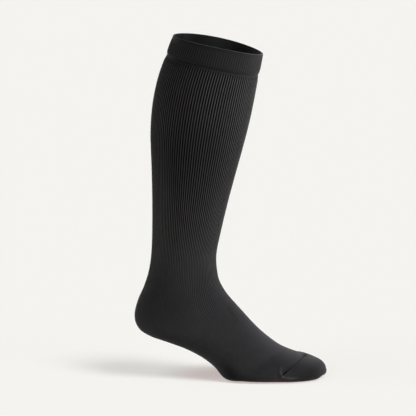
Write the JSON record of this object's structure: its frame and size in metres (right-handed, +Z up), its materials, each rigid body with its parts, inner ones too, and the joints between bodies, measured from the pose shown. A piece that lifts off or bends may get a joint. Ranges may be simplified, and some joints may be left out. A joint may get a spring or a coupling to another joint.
{
  "type": "compression stocking",
  "caption": "Knee-high compression stocking, filled out with no wearer: turned welt at the open top, ribbed leg, plain foot raised at the heel, and a toe pocket with a linked seam.",
  "frame": {"origin": "middle of the open top, where the wearer's calf holds the stocking up", "axes": "+Z up along the leg, +X forwards to the toes, +Y to the wearer's left; the stocking is the same on both sides of the XZ plane"},
  "size_m": [0.2354, 0.1124, 0.4223],
  "materials": {
    "band_knit": "double nylon and elastane knit, black, matt",
    "ribbed_knit": "ribbed nylon and elastane knit, charcoal black, soft sheen",
    "plain_knit": "fine plain nylon and elastane knit, charcoal black, soft sheen"
  },
  "bodies": {
    "root": {"welt": "band_knit", "leg": "ribbed_knit", "foot": "plain_knit", "toe": "plain_knit"}
  },
  "joints": []
}
